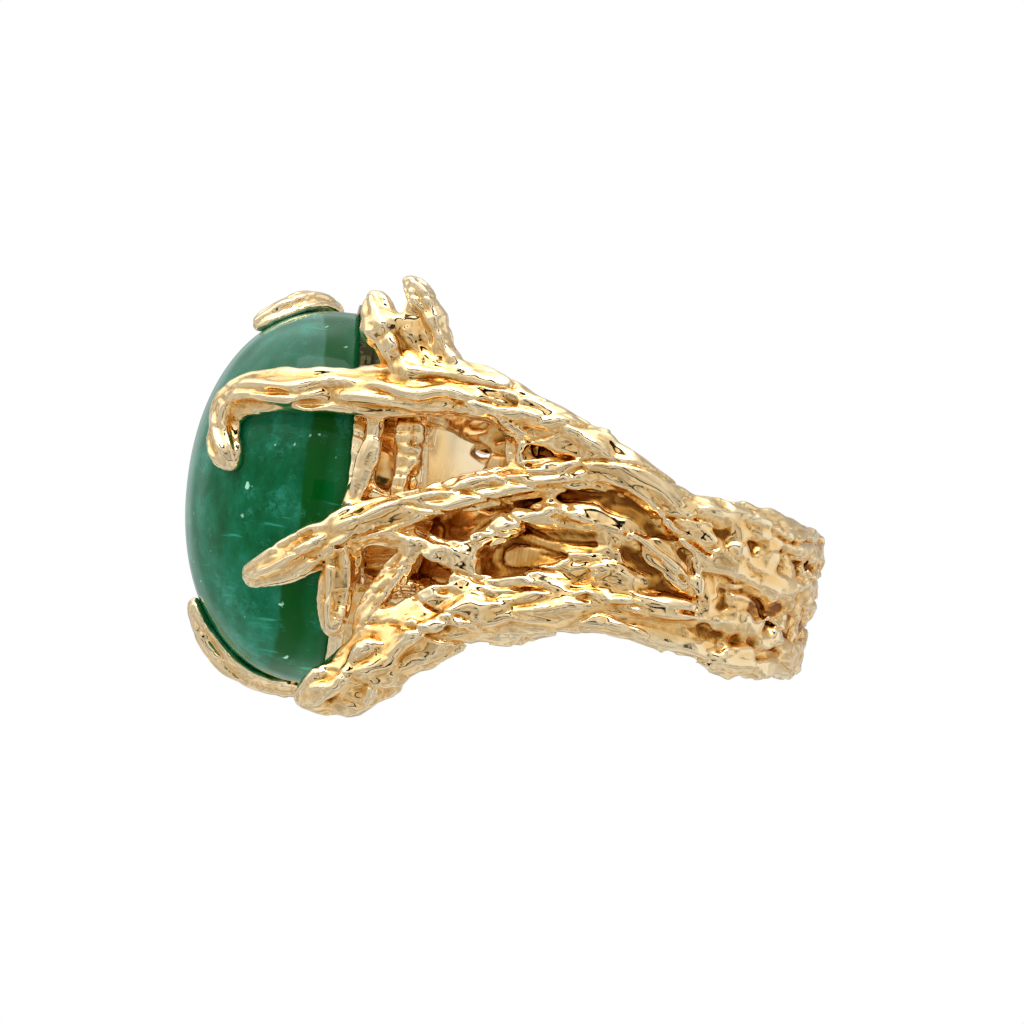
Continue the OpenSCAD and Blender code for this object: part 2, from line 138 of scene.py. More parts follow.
# A branch's core and ridges, as shares of its radius where no unit is given.
CORE_THICK, CORE_SWAY = 0.86, 0.05  # the second in millimetres
RIDGES_PER_MM = 5           # ridges for each millimetre of radius
RIDGE_SPREAD = 3.9          # radians of the branch's outer side that they cover
RIDGE_FADE = 0.9            # millimetres over which a ridge rises and sinks at its ends
RIDGE_THICK, RIDGE_LEAST = 0.27, 0.13  # the second in millimetres
RIDGE_LOW, RIDGE_RISE = 0.5, 0.34  # where its middle line runs at its ends, and how far it rises
TIP = np.array([0.55, 0.82, 0.95])  # how a branch narrows at its ends
BRANCH_CORNERS = 20         # a CAD solid with fewer corners is no branch

# How a branch's ridges and pits are drawn. The claws have longer and calmer ones.
ROUGH_GRAIN = {
    "ripple": 0.07, "run": (3.0, 8.0), "bend": 0.4, "uneven": 0.25,
    "pit_step": 2.2, "pit_size": (0.16, 0.3), "pit_run": (0.3, 1.1)}
LONG_GRAIN = {
    "ripple": 0.03, "run": (6.0, 12.0), "bend": 0.2, "uneven": 0.12,
    "pit_step": 1.7, "pit_size": (0.13, 0.2), "pit_run": (0.8, 1.8)}


# ---------------------------------------------------------------- reading the CAD solids

def cad_mesh(node):
    """A CAD node's corners in millimetres, joined where they meet, and its triangles."""
    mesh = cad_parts[node].data
    corners = np.empty(len(mesh.vertices) * 3, np.float32)
    mesh.vertices.foreach_get("co", corners)
    mesh.calc_loop_triangles()
    triangles = np.empty(len(mesh.loop_triangles) * 3, np.int32)
    mesh.loop_triangles.foreach_get("vertices", triangles)
    corners = corners.reshape(-1, 3).astype(float) / MM
    _, first, joined = np.unique(
        np.round(corners, 3), axis=0, return_index=True, return_inverse=True)
    return corners[first], joined.reshape(-1)[triangles].reshape(-1, 3)


def solid_labels(count, faces):
    """For each of a mesh's corners, the lowest corner number in its separate solid."""
    label = np.arange(count)
    while True:
        lowest = label.copy()
        np.minimum.at(lowest, faces.ravel(), np.repeat(label[faces].min(axis=1), faces.shape[1]))
        lowest = lowest[lowest]
        if (lowest == label).all():
            return label
        label = lowest


def solids_of(corners, triangles):
    """The corner numbers of each separate solid in a mesh."""
    label = solid_labels(len(corners), triangles)
    return [np.flatnonzero(label == solid) for solid in np.unique(label)]


def without_chips(corners, quads):
    """The mesh without its solids that are too small to be more than a chip."""
    label = solid_labels(len(corners), quads)
    size = np.bincount(label, minlength=len(corners))
    kept = size[label] >= CHIP
    number = np.cumsum(kept) - 1
    return corners[kept], number[quads[kept[quads[:, 0]]]]


def steps_from(start, links):
    """How many edges each corner is away from the start."""
    count = {start: 0}
    front = [start]
    while front:
        following = []
        for corner in front:
            for other in links[corner]:
                if other not in count:
                    count[other] = count[corner] + 1
                    following.append(other)
        front = following
    return count


def spines(node, step=0.25):
    """The middle line of each branch in a node, as an array of [x, y, z, radius] a step apart."""
    corners, triangles = cad_mesh(node)
    links = {}
    for a, b, c in triangles.tolist():
        for i, j in ((a, b), (b, c), (c, a)):
            links.setdefault(i, set()).add(j)
            links.setdefault(j, set()).add(i)
    lines = []
    for members in solids_of(corners, triangles):
        if len(members) < BRANCH_CORNERS:
            continue
        ends = steps_from(int(members[0]), links)
        start = max(ends, key=lambda k: (ends[k], -k))
        count = steps_from(start, links)
        levels = [[] for _ in range(max(count.values()) + 1)]
        for corner, level in count.items():
            levels[level].append(corner)
        middles = np.array([corners[level].mean(axis=0) for level in levels])
        radii = np.array([np.linalg.norm(corners[level] - m, axis=1).mean()
                          for level, m in zip(levels, middles)])
        for _ in range(2):
            middles[1:-1] = (middles[:-2] + 2 * middles[1:-1] + middles[2:]) / 4
        radii[:3], radii[-3:] = radii[3] * TIP, radii[-4] * TIP[::-1]
        along = np.concatenate([[0], np.cumsum(np.linalg.norm(np.diff(middles, axis=0), axis=1))])
        places = np.linspace(0, along[-1], max(6, int(along[-1] / step)))
        lines.append(np.column_stack(
            [np.interp(places, along, middles[:, k]) for k in range(3)]
            + [np.interp(places, along, radii)]))
    return lines


# ---------------------------------------------------------------- the distance field

low = np.array(cad_bounds[0]) / MM - EDGE
high = np.array(cad_bounds[1]) / MM + EDGE
cells = np.ceil((high - low) / VOXEL).astype(int)
axes = [low[k] + VOXEL * np.arange(cells[k]) for k in range(3)]


def window(first, last, margin=0.0):
    """The part of the grid that holds a box, as three slices."""
    begin = np.clip(np.floor((np.asarray(first) - margin - low) / VOXEL).astype(int), 0, cells)
    end = np.clip(np.ceil((np.asarray(last) + margin - low) / VOXEL).astype(int) + 1, 0, cells)
    return tuple(slice(int(b), int(e)) for b, e in zip(begin, end))


def places_in(box):
    """The x, y and z of the cells in a part of the grid."""
    return np.meshgrid(
        *[axes[k][box[k]].astype(np.float32) for k in range(3)], indexing="ij", sparse=True)


def melt(a, b, reach):
    """The smaller of two distances, rounded where they are alike."""
    near = np.maximum(reach - np.abs(a - b), 0) / reach
    return np.minimum(a, b) - near * near * reach / 4


def window_of(line):
    """The part of the grid that a wire's distances reach."""
    return window(line[:, :3].min(axis=0), line[:, :3].max(axis=0), line[:, 3].max() + BAND)


def wire_field(line, field, corner):
    """Lowers a field, whose first cell is at grid place corner, to the distances from one wire."""
    limit = line[:, 3].max() + BAND
    for a, b in zip(line[:-1], line[1:]):
        box = window(np.minimum(a[:3], b[:3]), np.maximum(a[:3], b[:3]), limit)
        local = tuple(slice(s.start - c, s.stop - c) for s, c in zip(box, corner))
        x, y, z = places_in(box)
        d = b[:3] - a[:3]
        length = max(float(d @ d), 1e-9)
        t = np.clip(((x - a[0]) * d[0] + (y - a[1]) * d[1] + (z - a[2]) * d[2]) / length, 0, 1)
        gap = np.sqrt(
            (x - a[0] - t * d[0]) ** 2 + (y - a[1] - t * d[1]) ** 2 + (z - a[2] - t * d[2]) ** 2)
        gap -= a[3] + t * (b[3] - a[3])
        field[local] = np.minimum(field[local], gap)


def bundle_field(wires, pits=(), reach=WIRE_FUSE):
    """(grid window, distances) of some wires melted together, with pits sunk into them."""
    box = window_of(np.concatenate(wires))
    shape = [s.stop - s.start for s in box]
    corner = [s.start for s in box]
    whole = np.full(shape, BAND, np.float32)
    for line, pit in [(w, False) for w in wires] + [(p, True) for p in pits]:
        mine = tuple(
            slice(max(a.start, b.start), min(a.stop, b.stop)) for a, b in zip(window_of(line), box))
        one = np.full([s.stop - s.start for s in mine], BAND, np.float32)
        wire_field(line, one, [s.start for s in mine])
        local = tuple(slice(s.start - c, s.stop - c) for s, c in zip(mine, corner))
        whole[local] = -melt(-whole[local], one, reach) if pit else melt(whole[local], one, reach)
    return box, whole


def shell_field(node):
    """(grid window, distances) of a CAD solid, taken as it is."""
    corners, triangles = cad_mesh(node)
    box = window(corners.min(axis=0), corners.max(axis=0), BAND)
    start = np.array([low[k] + VOXEL * box[k].start for k in range(3)])
    grid = vdb.FloatGrid.createLevelSetFromPolygons(
        ((corners - start) / VOXEL).astype(np.float32), triangles=triangles.astype(np.uint32),
        transform=vdb.createLinearTransform(1.0), halfWidth=BAND / VOXEL)
    field = np.empty([s.stop - s.start for s in box], np.float32)
    grid.copyToArray(field)
    return box, field * VOXEL


# ---------------------------------------------------------------- bundles of melted wires

def wander(places, wave, seed, count=3):
    """A smooth random line through the places, between about -1 and 1."""
    dice = np.random.default_rng(seed)
    total = np.zeros(len(places))
    for _ in range(count):
        turn = 2 * math.pi * places / (wave * dice.uniform(0.7, 1.6))
        total += np.sin(turn + dice.uniform(0, 2 * math.pi))
    return total / count * 1.4


def outward(places):
    """Unit vectors away from the ring's core: at the back the finger hole's axis, at the stone
    the middle of its base, and between them the plane halfway across the ring."""
    core = np.column_stack([
        np.clip(places[:, 0], STONE_CORE, 0), np.zeros(len(places)),
        places[:, 2] * np.clip((places[:, 0] - STONE_CORE) / 3.0, 0, 1)])
    away = places - core
    return away / np.linalg.norm(away, axis=1, keepdims=True)


def evened(radii, passes=40):
    """The radii of a spine without their ripple. The blunt tips keep theirs."""
    smooth = radii.copy()
    for _ in range(passes):
        smooth[4:-4] = (smooth[3:-5] + 2 * smooth[4:-4] + smooth[5:-3]) / 4
    return smooth


def branch_directions(middle):
    """For each place on a branch, unit vectors along it, to its side, and out from the ring."""
    heading = np.gradient(middle, axis=0)
    heading /= np.linalg.norm(heading, axis=1, keepdims=True)
    side = np.cross(heading, outward(middle))
    side /= np.linalg.norm(side, axis=1, keepdims=True)
    return heading, side, np.cross(side, heading)


def ridge_wires(place, along, radius, dice, grain):
    """Thin ridges that start and stop along a branch's outer side."""
    wires = []
    ridges = int(np.clip(round(radius.mean() * RIDGES_PER_MM), 2, 6))
    for k in range(ridges):
        lead = math.pi / 2 + (k - (ridges - 1) / 2) * RIDGE_SPREAD / ridges
        start = dice.uniform(-2.5, 0.6)
        while start < along[-1] - 1:
            run = dice.uniform(*grain["run"])
            sway = dice.uniform(-1, 1) + wander(along, 5.0, int(dice.integers(1e6)))
            angle = lead + grain["bend"] * sway
            to_end = np.minimum(along - start, start + run - along)
            rise = np.sqrt(np.clip(to_end / RIDGE_FADE, 0, 1))
            uneven = 1 + grain["uneven"] * wander(along, 1.8, int(dice.integers(1e6)))
            thick = np.maximum(radius * RIDGE_THICK, RIDGE_LEAST) * uneven
            keep = (along >= start) & (along <= start + run)
            if keep.sum() > 4:
                line = place(angle, radius * (RIDGE_LOW + RIDGE_RISE * rise))
                wires.append(np.column_stack([line, thick])[keep])
            start += run + dice.uniform(-1.0, 0.8)
    return wires


def pit_wires(place, along, radius, heading, dice, grain):
    """Almond-shaped pits between the ridges, each a short wire to be cut out."""
    pits = []
    for spot in np.arange(dice.uniform(0.6, 2.0), along[-1] - 0.9, grain["pit_step"]):
        i = int(np.clip(np.searchsorted(along, spot + dice.uniform(-0.5, 0.5)), 1, len(along) - 2))
        angle = np.full(len(along), dice.uniform(0.1, math.pi - 0.1))
        centre = place(angle, radius * dice.uniform(0.88, 1.02))[i]
        size = radius[i] * dice.uniform(*grain["pit_size"])
        run = heading[i] * dice.uniform(*grain["pit_run"])
        pits.append(np.array([
            [*(centre - run), size * 0.3], [*centre, size], [*(centre + run), size * 0.3]]))
    return pits


def bundle(spine, seed, grain):
    """One branch as (wires, pits): a smooth core with ridges on it, and the pits to cut out."""
    middle, radius = spine[:, :3], spine[:, 3]
    along = np.concatenate([[0], np.cumsum(np.linalg.norm(np.diff(middle, axis=0), axis=1))])
    heading, side, up = branch_directions(middle)
    dice = np.random.default_rng(seed)

    def place(angle, away):
        return middle + (np.cos(angle) * away)[:, None] * side + (np.sin(angle) * away)[:, None] * up

    sway = np.column_stack([wander(along, 3.0, seed * 91 + i) for i in range(3)])
    core = middle + CORE_SWAY * sway
    thick = radius * (CORE_THICK + grain["ripple"] * wander(along, 3.2, seed * 17))
    wires = [np.column_stack([core, thick])] + ridge_wires(place, along, radius, dice, grain)
    return wires, pit_wires(place, along, radius, heading, dice, grain)


def nuggets(seed=7):
    """Short flat lumps of cast gold over the back of the band, around the CAD node's own."""
    corners, triangles = cad_mesh("back_nuggets")
    dice = np.random.default_rng(seed)
    lumps = []
    for members in solids_of(corners, triangles):
        centre = corners[members].mean(axis=0)
        away = np.array([centre[0], centre[1], 0]) / math.hypot(centre[0], centre[1])
        run = np.array([-away[1], away[0], 0])
        for _ in range(3):
            shift = run * dice.uniform(-0.8, 0.8) + np.array([0, 0, dice.uniform(-0.6, 0.6)])
            size = dice.uniform(0.22, 0.5)
            place = centre + shift + away * dice.uniform(-0.3, 0.12)
            tilt = run * dice.uniform(-0.7, 0.7) + np.array([0, 0, dice.uniform(-0.35, 0.35)])
            lumps.append(np.array([[*(place - tilt), size * 0.7], [*(place + tilt), size]]))
    return lumps


def posts(seed=11):
    """The gallery's uneven posts, each a short wire along its CAD cone."""
    corners, triangles = cad_mesh("gallery_posts")
    dice = np.random.default_rng(seed)
    rods = []
    for members in solids_of(corners, triangles):
        own = corners[members]
        middle = own.mean(axis=0)
        top, foot = own[:, 0].min(), own[:, 0].max()
        radius = (own[:, 2].max() - own[:, 2].min()) / 2
        count = 7
        rod = np.column_stack([
            np.linspace(foot, top, count),
            np.full(count, middle[1]) + dice.uniform(-0.12, 0.12, count),
            np.full(count, middle[2]) + dice.uniform(-0.12, 0.12, count),
            radius * dice.uniform(0.7, 1.1, count)])
        rods.append(rod)
    return rods


# ---------------------------------------------------------------- noise

def lattice(seed, size=32):
    """A block of random values, which noise() blends between."""
    return np.random.default_rng(seed).uniform(-1, 1, (size, size, size)).astype(np.float32)


def noise(places, table):
    """Smooth noise between -1 and 1 at (n, 3) places, one unit to a lattice step."""
    size = table.shape[0]
    base = np.floor(places).astype(np.int32)
    part = (places - base).astype(np.float32)
    part = part * part * (3 - 2 * part)
    total = np.zeros(len(places), np.float32)
    for dx in (0, 1):
        wx = part[:, 0] if dx else 1 - part[:, 0]
        for dy in (0, 1):
            wy = part[:, 1] if dy else 1 - part[:, 1]
            for dz in (0, 1):
                wz = part[:, 2] if dz else 1 - part[:, 2]
                total += wx * wy * wz * table[
                    (base[:, 0] + dx) % size, (base[:, 1] + dy) % size, (base[:, 2] + dz) % size]
    return total


def flow_places(x, y, z):
    """Coordinates that run with the branches: along the band, out from it, and across it."""
    front = x < 0
    side = np.where(y > 0, 1.0, -1.0)
    angle = np.arctan2(np.abs(y), x)
    along = np.where(front, FLOW_R * math.pi / 2 - x, FLOW_R * angle) * side
    out = np.where(front, np.abs(y), np.hypot(x, y))
    return np.column_stack([along, out, z])


def creases(values, width):
    """1 along the lines where a noise crosses zero, and 0 from a little way off them."""
    return np.maximum(1 - np.abs(values) / width, 0)


def bark(x, y, z):
    """The bark's relief in millimetres: soft swells cut by sharp folds, finer wrinkles and pits."""
    p = flow_places(x, y, z)
    p = p + BEND * np.column_stack([
        noise(p / BEND_WAVE + shift, lattice(k)) for k, shift in ((1, 7.3), (2, 3.1), (3, 0.0))])
    swells = noise(p / np.array(SWELLS_WAVE), lattice(4))
    folds = creases(noise(p / np.array(FOLDS_WAVE) + 3.0, lattice(7)), FOLD_WIDTH)
    wrinkles = creases(noise(p / np.array(WRINKLES_WAVE) + 11.0, lattice(5)), WRINKLE_WIDTH)
    pits = np.maximum(noise(p / np.array(PITS_WAVE) + 5.0, lattice(6)) - PIT_START, 0)
    return BARK_RISE + SWELLS * swells - FOLDS * folds - WRINKLES * wrinkles - PITS * pits


# ---------------------------------------------------------------- fusing and cutting apart

fused = np.full(cells, BAND, np.float32)
nearest = np.full(cells, BAND, np.float32)
second = np.full(cells, BAND, np.float32)
owner = np.zeros(cells, np.uint8)
parts = []                  # (name, window, distances)


def add(name, box, field, reach):
    """Melts a part into the fused field and notes which part is nearest in each cell."""
    parts.append((name, box, field))
    number = len(parts)
    fused[box] = melt(fused[box], field, reach)
    closer = field < nearest[box]
    second[box] = np.where(closer, nearest[box], np.minimum(second[box], field))
    nearest[box] = np.where(closer, field, nearest[box])
    owner[box] = np.where(closer, number, owner[box])


def swell_sleeve(box, field):
    """Takes the CAD solid's facets off the sleeve, and thickens it outwards, so that the floor
    between the branches is bark too."""
    for axis in (0, 1, 2, 0, 1, 2):
        rows = np.moveaxis(field, axis, 0)
        rows[1:-1] = (rows[:-2] + 2 * rows[1:-1] + rows[2:]) / 4
    x, y, _ = places_in(box)
    radial = np.sqrt(x * x + y * y)
    field -= SWELL * np.clip((radial - SLEEVE_R + SWELL_BLEND) / SWELL_BLEND, 0, 1)
    return box, field


def branch_field(node, seed):
    """(grid window, distances) of a node's branches, each redrawn as a bundle of wires."""
    wires, pits = [], []
    for k, spine in enumerate(spines(node)):
        if node in STRIPS:
            spine[:, 3] *= STRIP_WIDEN
        elif node in CLAWS:
            spine[:, 3] = evened(spine[:, 3]) * CLAW_WIDEN
        more, deeper = bundle(spine, seed * 13 + k, LONG_GRAIN if node in CLAWS else ROUGH_GRAIN)
        wires += more
        pits += deeper
    return bundle_field(wires, pits)


def build_field():
    """Melts all the gold parts into one field."""
    for node in SHELLS:
        shell = shell_field(node)
        add(node, *(swell_sleeve(*shell) if node == "inner_band" else shell), SHELL_FUSE)
    add("gallery_posts", *bundle_field(posts()), FUSE)
    add("back_nuggets", *bundle_field(nuggets(), reach=LUMP_FUSE), NUGGET_FUSE)
    for seed, node in enumerate(BRANCHES, 3):
        add(node, *branch_field(node, seed), FUSE)


def roughen():
    """Adds the bark's relief to the fused field, away from the finger hole's smooth wall."""
    band = np.flatnonzero(np.abs(fused.ravel()) < RELIEF_REACH)
    i, j, k = np.unravel_index(band, fused.shape)
    x, y, z = axes[0][i], axes[1][j], axes[2][k]
    radial = np.hypot(x, y)
    rough = np.clip((radial - BORE_R - WALL_CLEAR) / 0.5, 0, 1)
    head = np.clip((HEAD_FROM - x) / 3.0, 0, 1)
    back = np.clip((x - BACK_ROUGH_FROM) / 4.0, 0, 1)
    rough *= 1 - HEAD_CALM * head + BACK_ROUGH * back
    fused.ravel()[band] -= (rough * bark(x, y, z)).astype(np.float32)


def round_back():
    """Lowers the back of the band towards its two edges."""
    x, y, z = places_in((slice(None),) * 3)
    radial = np.sqrt(x * x + y * y)
    share = np.clip((x - BACK_FROM) / 1.5, 0, 1) * np.clip((radial - BACK_R) / 0.8, 0, 1)
    edge = BACK_DROP * np.clip(np.abs(z - BACK_MIDDLE) - BACK_HALF, 0, 1)
    corner = CORNER_DROP * np.clip((CORNER_FROM - z) / 0.6, 0, 1)
    np.add(fused, share * (edge + corner), out=fused)


def clear_hole_and_stone():
    """Cuts the finger hole and the stone's room out of the fused field."""
    x, y, z = places_in((slice(None),) * 3)
    np.maximum(fused, BORE_R - np.sqrt(x * x + y * y) + 0 * z, out=fused)
    box, stone = shell_field("cabochon")
    fused[box] = np.maximum(fused[box], STONE_GAP - stone)


def mesh_from(name, box, field):
    """A closed smooth mesh object where the field crosses zero, in metres in the ring's frame."""
    edged = np.pad(field, 1, constant_values=BAND) / VOXEL
    grid = vdb.FloatGrid(float(BAND / VOXEL))
    grid.gridClass = vdb.GridClass.LEVEL_SET
    grid.copyFromArray(np.ascontiguousarray(edged, np.float32))
    corners, quads = without_chips(*grid.convertToQuads())
    start = np.array([low[k] + VOXEL * (box[k].start - 1) for k in range(3)])
    corners = (corners * VOXEL + start) * MM
    mesh = bpy.data.meshes.new(name)
    mesh.vertices.add(len(corners))
    mesh.vertices.foreach_set("co", corners.astype(np.float32).ravel())
    mesh.loops.add(quads.size)
    mesh.loops.foreach_set("vertex_index", quads[:, ::-1].astype(np.int32).ravel())
    mesh.polygons.add(len(quads))
    mesh.polygons.foreach_set("loop_start", np.arange(len(quads), dtype=np.int32) * 4)
    mesh.update(calc_edges=True)
    mesh.validate()
    mesh.polygons.foreach_set("use_smooth", np.ones(len(mesh.polygons), bool))
    made = bpy.data.objects.new(name, mesh)
    bpy.context.scene.collection.objects.link(made)
    return made


def metal_around():
    """The share of metal round each cell: low on ridges, half on flats, high down in hollows."""
    share = (fused < 0).astype(np.float32)
    n = int(round(HOLLOW_REACH / VOXEL))
    for axis in range(3):
        share = np.moveaxis(share, axis, 0)
        total = np.cumsum(np.pad(share, [(n + 1, n), (0, 0), (0, 0)]), axis=0, dtype=np.float32)
        share = np.moveaxis((total[2 * n + 1:] - total[:-2 * n - 1]) / (2 * n + 1), 0, axis)
    return share


def heights_above_mean(mesh, co, passes=5):
    """How far each corner stands out from what is round it, in millimetres."""
    n = len(co)
    normal = np.empty(n * 3, np.float32)
    mesh.vertices.foreach_get("normal", normal)
    edges = np.empty(len(mesh.edges) * 2, np.int32)
    mesh.edges.foreach_get("vertices", edges)
    a, b = edges.reshape(-1, 2).T
    smooth = co.copy()
    weight = np.bincount(a, minlength=n) + np.bincount(b, minlength=n)
    for _ in range(passes):
        total = np.column_stack([
            np.bincount(a, smooth[b, k], n) + np.bincount(b, smooth[a, k], n) for k in range(3)])
        smooth = (total / np.maximum(weight, 1)[:, None]).astype(np.float32)
    return ((co - smooth) * normal.reshape(-1, 3)).sum(axis=1) / MM


def note_relief(made, share, sunk):
    """Notes on each corner how far it lies in a hollow (0) or on a ridge (1), which the gold turns into
    painted shade and a painted highlight. The finger hole's wall counts as a ridge, as painted light
    there, and a sunk piece is taken that much further down everywhere else, as painted shade."""
    mesh = made.data
    co = np.empty(len(mesh.vertices) * 3, np.float32)
    mesh.vertices.foreach_get("co", co)
    co = co.reshape(-1, 3)
    height = heights_above_mean(mesh, co)
    cell = np.clip(np.round((co / MM - low) / VOXEL).astype(int), 0, cells - 1)
    around = share[cell[:, 0], cell[:, 1], cell[:, 2]]
    # painted shade in the hollows and a painted highlight on the ridges
    value = FLAT_VALUE + HEIGHT_SHARE * height / FULL_HEIGHT - HOLLOW_SHARE * (around - 0.5) - sunk
    value = np.clip(value, 0, 1)
    # painted light: the finger hole's wall gets the palest gold, as lit through the hole
    value[np.hypot(co[:, 0], co[:, 1]) < (BORE_R + BORE_DEPTH) * MM] = 1
    layer = mesh.attributes.new("relief", "FLOAT", "POINT")
    layer.data.foreach_set("value", value.astype(np.float32))


def cut_apart():
    """One closed piece for each part: the fused field where that part is the nearest. Past that,
    the piece sinks in under its neighbours, so that no gap shows."""
    pieces = {}
    share = metal_around()
    for number, (name, box, field) in enumerate(parts, 1):
        others = np.where(owner[box] == number, second[box], nearest[box])
        past = field - others
        own = np.maximum(fused[box] + SINK * np.maximum(past, 0) ** 2, past - OVERLAP)
        if not (own < 0).any():
            continue
        pieces[name] = mesh_from(name + "_gold", box, own)
        note_relief(pieces[name], share, SUNK_SHADE.get(name, 0))
    return pieces


# ---------------------------------------------------------------- materials

# Gold from the bottom of a hollow (0) to the top of a ridge (1): painted shade, darker and redder, in the
# hollows, and a painted highlight, paler, on the ridges.
GOLD_SHADE_STOPS = [
    (0.0, (0.24, 0.08, 0.012)), (0.2, (0.71, 0.34, 0.065)), (0.42, (0.94, 0.59, 0.23)),
    (0.7, (0.98, 0.715, 0.37)), (1.0, (1.0, 0.825, 0.535))]
GRAIN_SCALE = 2600.0                  # the bump's noise, per metre like all the scales here
PATCH_SCALE = 700.0                   # the noise that varies the polish
PATCH = (0.35, 0.65)                  # its values where the polish is best and dullest
PAINTED_SHADE_GOLD = (0.026, 0.024, 0.010)   # painted shade: the seat beside the stone's top end, nearly black as if deep in the shade
RECESS = (5.6, 6.2)                   # the heights where that starts
RECESS_END = (-11.4, -11.8)           # where it ends, away from the stone
RECESS_SIDE = (0.5, -1.0)             # and where it ends towards the far side

# The stone's colours, the noises that spread them, and the noise values where each begins and is
# full.
CLOUD_SCALE = 340.0
STONE_CLOUD = [
    (0.34, (0.001, 0.066, 0.020)), (0.46, (0.003, 0.115, 0.040)),
    (0.56, (0.007, 0.160, 0.078)), (0.70, (0.028, 0.26, 0.165))]
STONE_TOP_LIGHT = (0.12, 0.26, 0.22)
TOP_LIGHT_HEIGHTS = (3.5, 14.0)                   # painted light: the heights between which the stone's upper end turns paler and greyer
STRIPE_GREEN = (0.001, 0.080, 0.008)
STRIPE = (-14.4, -13.4)               # the dark stripe, from the dome side to the girdle side
STRIPE_EDGE = 0.15                    # how softly it starts; it ends three times as softly
STRIPE_SWAY, SWAY_SCALE = 1.2, 260.0  # how far it wanders
GIRDLE_GREEN = (0.004, 0.120, 0.030)
VEIL_GREEN = (0.035, 0.32, 0.22)
VEIL_SCALE, VEIL = 460.0, (0.54, 0.72)
STREAK_GREEN = (0.03, 0.30, 0.18)
STREAK_SCALE, STREAK = 700.0, (0.66, 0.74)
SPECK_GREEN = (0.40, 0.80, 0.62)
SPECK_SCALE, SPECK = 1500.0, (0.71, 0.75)
STONE_ROUGH, STONE_IOR = 0.06, 1.22
POLISH_ROUGH = 0.16
POLISH_TINT = (0.66, 1.0, 1.0)
POLISH = 0.46                         # how strongly the stone's outline mirrors its surroundings
POLISH_FALL = 2.8                     # how fast that fades towards its middle


def new_material(name):
    """(material, node tree, its Principled shader)."""
    made = bpy.data.materials.new(name)
    made.use_nodes = True
    tree = made.node_tree
    return made, tree, tree.nodes["Principled BSDF"]


def node_of(tree, kind, **settings):
    """A new node with some of its settings."""
    made = tree.nodes.new(kind)
    for key, value in settings.items():
        setattr(made, key, value)
    return made


def ramp(tree, source, stops):
    """A colour ramp from (place, colour) stops."""
    made = node_of(tree, "ShaderNodeValToRGB")
    tree.links.new(source, made.inputs["Fac"])
    points = made.color_ramp.elements
    while len(points) < len(stops):
        points.new(0.5)
    for point, (place, colour) in zip(points, stops):
        point.position = place
        point.color = (*colour, 1)
    return made.outputs["Color"]


def object_places(tree):
    """The socket with the object's own coordinates, which are the ring's, in metres."""
    return node_of(tree, "ShaderNodeTexCoord").outputs["Object"]


def axes_of(tree):
    """The sockets with the ring's x, y and z, by name."""
    parted = node_of(tree, "ShaderNodeSeparateXYZ")
    tree.links.new(object_places(tree), parted.inputs["Vector"])
    return parted.outputs


def noise_of(tree, scale, detail=2.0, stretch=(1, 1, 1), rough=0.5):
    """A noise factor. A stretch below 1 makes it longer that way."""
    mapping = node_of(tree, "ShaderNodeMapping")
    mapping.inputs["Scale"].default_value = stretch
    tree.links.new(object_places(tree), mapping.inputs["Vector"])
    made = node_of(tree, "ShaderNodeTexNoise")
    made.inputs["Scale"].default_value = scale
    made.inputs["Detail"].default_value = detail
    made.inputs["Roughness"].default_value = rough
    tree.links.new(mapping.outputs["Vector"], made.inputs["Vector"])
    return made.outputs["Fac"]


def mixed(tree, factor, first, second):
    """Two colours, mixed by a factor socket. Each is a socket or a plain colour."""
    made = node_of(tree, "ShaderNodeMix", data_type="RGBA")
    tree.links.new(factor, made.inputs["Factor"])
    for name, colour in (("A", first), ("B", second)):
        socket = [i for i in made.inputs if i.name == name and i.type == "RGBA"][0]
        if isinstance(colour, tuple):
            socket.default_value = (*colour, 1)
        else:
            tree.links.new(colour, socket)
    return [o for o in made.outputs if o.type == "RGBA"][0]


def product(tree, first, *others):
    """The product of some factor sockets."""
    for other in others:
        made = node_of(tree, "ShaderNodeMath", operation="MULTIPLY")
        tree.links.new(first, made.inputs[0])
        tree.links.new(other, made.inputs[1])
        first = made.outputs["Value"]
    return first


def above(tree, value, low_end, high_end):
    """A factor that goes from 0 to 1 as a value passes from low_end to high_end."""
    made = node_of(tree, "ShaderNodeMapRange")
    made.inputs["From Min"].default_value = low_end
    made.inputs["From Max"].default_value = high_end
    tree.links.new(value, made.inputs["Value"])
    return made.outputs["Result"]


def recess_shade_factor(tree):
    """Where the painted shade goes: 1 beside the stone's top end, on the near side, and 0 elsewhere."""
    place = axes_of(tree)
    high = above(tree, place["Z"], RECESS[0] * MM, RECESS[1] * MM)
    beside = above(tree, place["X"], RECESS_END[0] * MM, RECESS_END[1] * MM)
    near = above(tree, place["Y"], RECESS_SIDE[0] * MM, RECESS_SIDE[1] * MM)
    return product(tree, high, beside, near)


